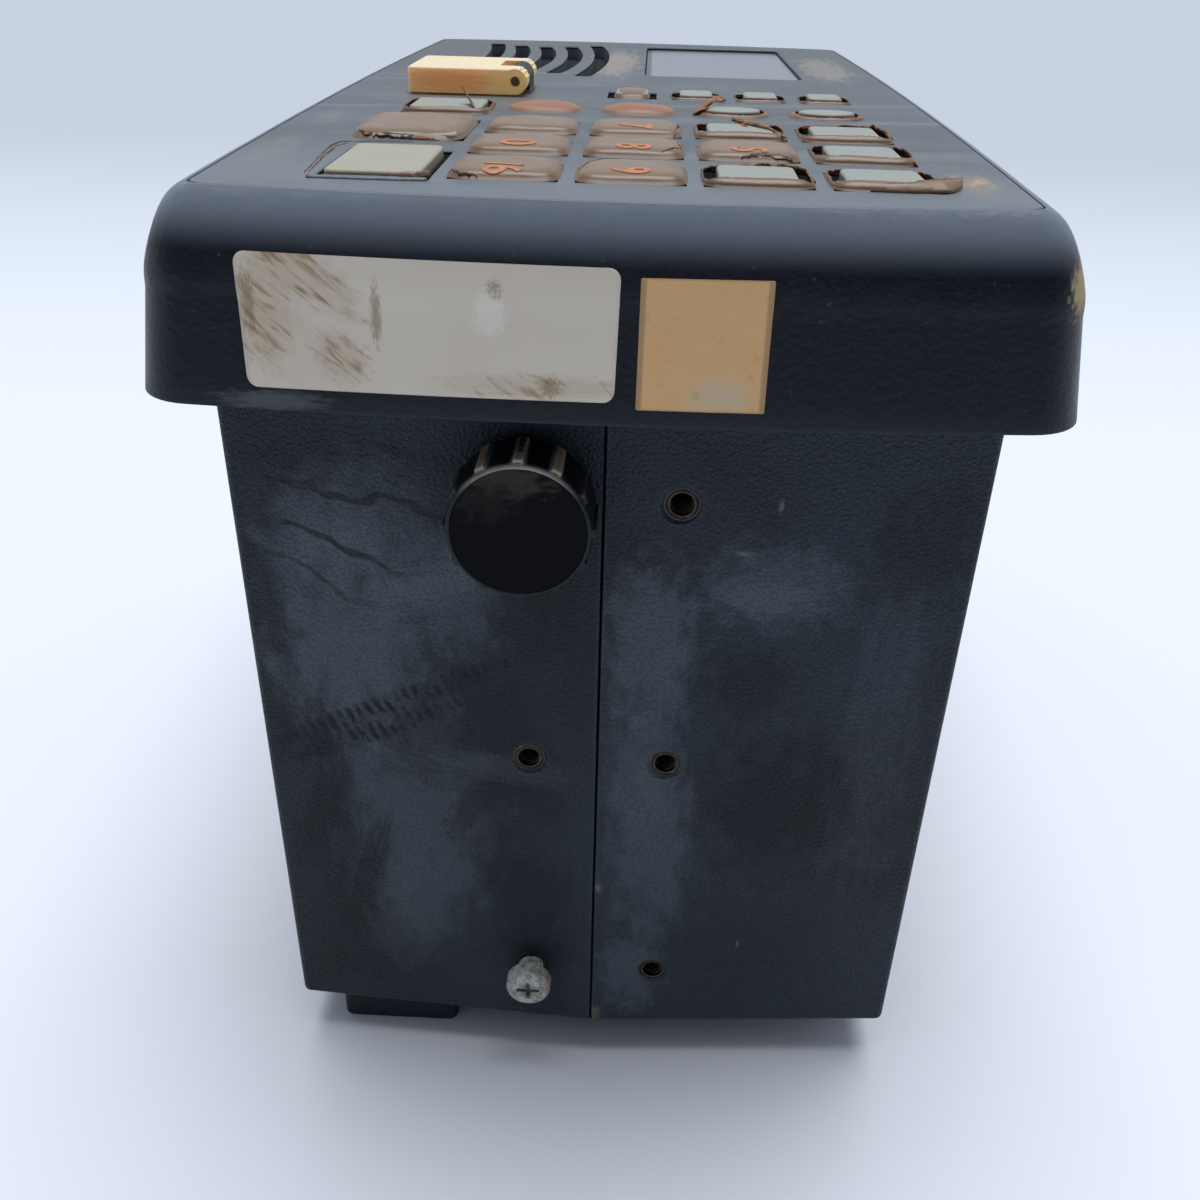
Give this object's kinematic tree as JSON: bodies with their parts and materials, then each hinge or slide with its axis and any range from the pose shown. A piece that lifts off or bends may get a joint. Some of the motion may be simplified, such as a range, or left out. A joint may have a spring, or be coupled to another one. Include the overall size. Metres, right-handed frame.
{
  "type": "marine radio",
  "caption": "Fixed-mount marine radio with a keypad front, display and speaker slots, a hinged cover over a distress key and clamp knobs on its ends.",
  "frame": {"origin": "on the surface that the radio stands on, under the middle of its outline", "axes": "+Z out of the front panel, +X the radio's top side, -Y its right-hand end as seen by the user"},
  "size_m": [0.1488, 0.258, 0.1922],
  "materials": {
    "key_silicone": "matte silicone",
    "distress_silicone": "matte silicone",
    "bezel_plastic": "satin moulded",
    "overlay_foil": "fine satin foil",
    "mat_silicone": "matte silicone",
    "circuit_board": "solder resist",
    "zinc_steel": "zinc plated",
    "corroded_zinc": "corroded zinc",
    "cover_plastic": "yellowed translucent",
    "stainless_pin": "dull",
    "display_lens": "clear window",
    "display_metal": "pressed frame",
    "dust_felt": "black felt",
    "speaker_metal": "black basket",
    "shell_paint": "leather grain paint",
    "gasket_rubber": "black rubber",
    "insert_brass": "tarnished",
    "knob_plastic": "moulded black",
    "knob_cap_plastic": "moulded black",
    "black_aluminium": "black anodised",
    "nickel_brass": "nickel plated",
    "socket_plastic": "black",
    "terminal_plastic": "black moulded",
    "strip_plastic": "pale moulded",
    "bare_aluminium": "folded sheet",
    "tinned_steel": "tin plated",
    "ribbon_grey": "grey ribbon"
  },
  "bodies": {
    "radio_body": {"front_bezel": "bezel_plastic", "front_overlay": "overlay_foil", "key_mat": "mat_silicone", "keypad_board": "circuit_board", "keypad_screws": "zinc_steel", "hinge_pin": "stainless_pin", "display_window": "display_lens", "display_module": "display_metal", "speaker_felt": "dust_felt", "loudspeaker": "speaker_metal", "lower_shell": "shell_paint", "upper_shell": "shell_paint", "bezel_gasket": "gasket_rubber", "seam_seals": "gasket_rubber", "thread_inserts": "insert_brass", "clamp_screw": "corroded_zinc", "tie_screws": "zinc_steel", "heat_sink": "black_aluminium", "connector_plate": "shell_paint", "aerial_sockets": "nickel_brass", "power_socket": "socket_plastic", "terminal_cover": "terminal_plastic", "cover_screws": "zinc_steel", "terminal_strip": "strip_plastic", "chassis_frame": "bare_aluminium", "radio_board": "circuit_board", "shield_cans": "tinned_steel", "main_board": "circuit_board", "ribbon_cable": "ribbon_grey"},
    "flip_cover": {"distress_cover": "cover_plastic"},
    "near_clamp": {"near_knob": "knob_plastic", "near_knob_cap": "knob_cap_plastic", "near_knob_stud": "zinc_steel"},
    "far_clamp": {"far_knob": "knob_plastic", "far_knob_cap": "knob_cap_plastic", "far_knob_stud": "zinc_steel"},
    "square_key_1_1_body": {"square_key_1_1": "key_silicone"},
    "square_key_1_2_body": {"square_key_1_2": "key_silicone"},
    "square_key_1_3_body": {"square_key_1_3": "key_silicone"},
    "square_key_2_1_body": {"square_key_2_1": "key_silicone"},
    "square_key_2_2_body": {"square_key_2_2": "key_silicone"},
    "square_key_2_3_body": {"square_key_2_3": "key_silicone"},
    "square_key_3_1_body": {"square_key_3_1": "key_silicone"},
    "square_key_3_2_body": {"square_key_3_2": "key_silicone"},
    "square_key_3_3_body": {"square_key_3_3": "key_silicone"},
    "square_key_4_1_body": {"square_key_4_1": "key_silicone"},
    "square_key_4_2_body": {"square_key_4_2": "key_silicone"},
    "square_key_4_3_body": {"square_key_4_3": "key_silicone"},
    "oval_key_1_body": {"oval_key_1": "key_silicone"},
    "oval_key_2_body": {"oval_key_2": "key_silicone"},
    "oval_key_3_body": {"oval_key_3": "key_silicone"},
    "oval_key_4_body": {"oval_key_4": "key_silicone"},
    "small_key_1_body": {"small_key_1": "key_silicone"},
    "small_key_2_body": {"small_key_2": "key_silicone"},
    "small_key_3_body": {"small_key_3": "key_silicone"},
    "small_key_4_body": {"small_key_4": "key_silicone"},
    "tall_key_1_body": {"tall_key_1": "key_silicone"},
    "tall_key_2_body": {"tall_key_2": "key_silicone"},
    "short_key_body": {"short_key": "key_silicone"},
    "distress_key_body": {"distress_key": "distress_silicone"}
  },
  "joints": [
    {"name": "cover_hinge", "type": "hinge", "parent": "radio_body", "child": "flip_cover", "pos_m": [-0.0248, -0.0042, 0.1896], "axis": [0, 1, 0], "range_deg": [0, 115]},
    {"name": "near_knob_turn", "type": "hinge", "parent": "radio_body", "child": "near_clamp", "pos_m": [-0.013, -0.1215, 0.137], "axis": [0, 1, 0], "continuous": true},
    {"name": "far_knob_turn", "type": "hinge", "parent": "radio_body", "child": "far_clamp", "pos_m": [-0.013, 0.1215, 0.137], "axis": [0, 1, 0], "continuous": true},
    {"name": "square_key_1_1_press", "type": "slide", "parent": "radio_body", "child": "square_key_1_1_body", "axis": [0, 0, -1], "range_m": [0, 0.0012], "stiffness_N_per_m": 900},
    {"name": "square_key_1_2_press", "type": "slide", "parent": "radio_body", "child": "square_key_1_2_body", "axis": [0, 0, -1], "range_m": [0, 0.0012], "stiffness_N_per_m": 900},
    {"name": "square_key_1_3_press", "type": "slide", "parent": "radio_body", "child": "square_key_1_3_body", "axis": [0, 0, -1], "range_m": [0, 0.0012], "stiffness_N_per_m": 900},
    {"name": "square_key_2_1_press", "type": "slide", "parent": "radio_body", "child": "square_key_2_1_body", "axis": [0, 0, -1], "range_m": [0, 0.0012], "stiffness_N_per_m": 900},
    {"name": "square_key_2_2_press", "type": "slide", "parent": "radio_body", "child": "square_key_2_2_body", "axis": [0, 0, -1], "range_m": [0, 0.0012], "stiffness_N_per_m": 900},
    {"name": "square_key_2_3_press", "type": "slide", "parent": "radio_body", "child": "square_key_2_3_body", "axis": [0, 0, -1], "range_m": [0, 0.0012], "stiffness_N_per_m": 900},
    {"name": "square_key_3_1_press", "type": "slide", "parent": "radio_body", "child": "square_key_3_1_body", "axis": [0, 0, -1], "range_m": [0, 0.0012], "stiffness_N_per_m": 900},
    {"name": "square_key_3_2_press", "type": "slide", "parent": "radio_body", "child": "square_key_3_2_body", "axis": [0, 0, -1], "range_m": [0, 0.0012], "stiffness_N_per_m": 900},
    {"name": "square_key_3_3_press", "type": "slide", "parent": "radio_body", "child": "square_key_3_3_body", "axis": [0, 0, -1], "range_m": [0, 0.0012], "stiffness_N_per_m": 900},
    {"name": "square_key_4_1_press", "type": "slide", "parent": "radio_body", "child": "square_key_4_1_body", "axis": [0, 0, -1], "range_m": [0, 0.0012], "stiffness_N_per_m": 900},
    {"name": "square_key_4_2_press", "type": "slide", "parent": "radio_body", "child": "square_key_4_2_body", "axis": [0, 0, -1], "range_m": [0, 0.0012], "stiffness_N_per_m": 900},
    {"name": "square_key_4_3_press", "type": "slide", "parent": "radio_body", "child": "square_key_4_3_body", "axis": [0, 0, -1], "range_m": [0, 0.0012], "stiffness_N_per_m": 900},
    {"name": "oval_key_1_press", "type": "slide", "parent": "radio_body", "child": "oval_key_1_body", "axis": [0, 0, -1], "range_m": [0, 0.0012], "stiffness_N_per_m": 900},
    {"name": "oval_key_2_press", "type": "slide", "parent": "radio_body", "child": "oval_key_2_body", "axis": [0, 0, -1], "range_m": [0, 0.0012], "stiffness_N_per_m": 900},
    {"name": "oval_key_3_press", "type": "slide", "parent": "radio_body", "child": "oval_key_3_body", "axis": [0, 0, -1], "range_m": [0, 0.0012], "stiffness_N_per_m": 900},
    {"name": "oval_key_4_press", "type": "slide", "parent": "radio_body", "child": "oval_key_4_body", "axis": [0, 0, -1], "range_m": [0, 0.0012], "stiffness_N_per_m": 900},
    {"name": "small_key_1_press", "type": "slide", "parent": "radio_body", "child": "small_key_1_body", "axis": [0, 0, -1], "range_m": [0, 0.0012], "stiffness_N_per_m": 900},
    {"name": "small_key_2_press", "type": "slide", "parent": "radio_body", "child": "small_key_2_body", "axis": [0, 0, -1], "range_m": [0, 0.0012], "stiffness_N_per_m": 900},
    {"name": "small_key_3_press", "type": "slide", "parent": "radio_body", "child": "small_key_3_body", "axis": [0, 0, -1], "range_m": [0, 0.0012], "stiffness_N_per_m": 900},
    {"name": "small_key_4_press", "type": "slide", "parent": "radio_body", "child": "small_key_4_body", "axis": [0, 0, -1], "range_m": [0, 0.0012], "stiffness_N_per_m": 900},
    {"name": "tall_key_1_press", "type": "slide", "parent": "radio_body", "child": "tall_key_1_body", "axis": [0, 0, -1], "range_m": [0, 0.0012], "stiffness_N_per_m": 900},
    {"name": "tall_key_2_press", "type": "slide", "parent": "radio_body", "child": "tall_key_2_body", "axis": [0, 0, -1], "range_m": [0, 0.0012], "stiffness_N_per_m": 900},
    {"name": "short_key_press", "type": "slide", "parent": "radio_body", "child": "short_key_body", "axis": [0, 0, -1], "range_m": [0, 0.0012], "stiffness_N_per_m": 900},
    {"name": "distress_key_press", "type": "slide", "parent": "radio_body", "child": "distress_key_body", "axis": [0, 0, -1], "range_m": [0, 0.0012], "stiffness_N_per_m": 900}
  ]
}
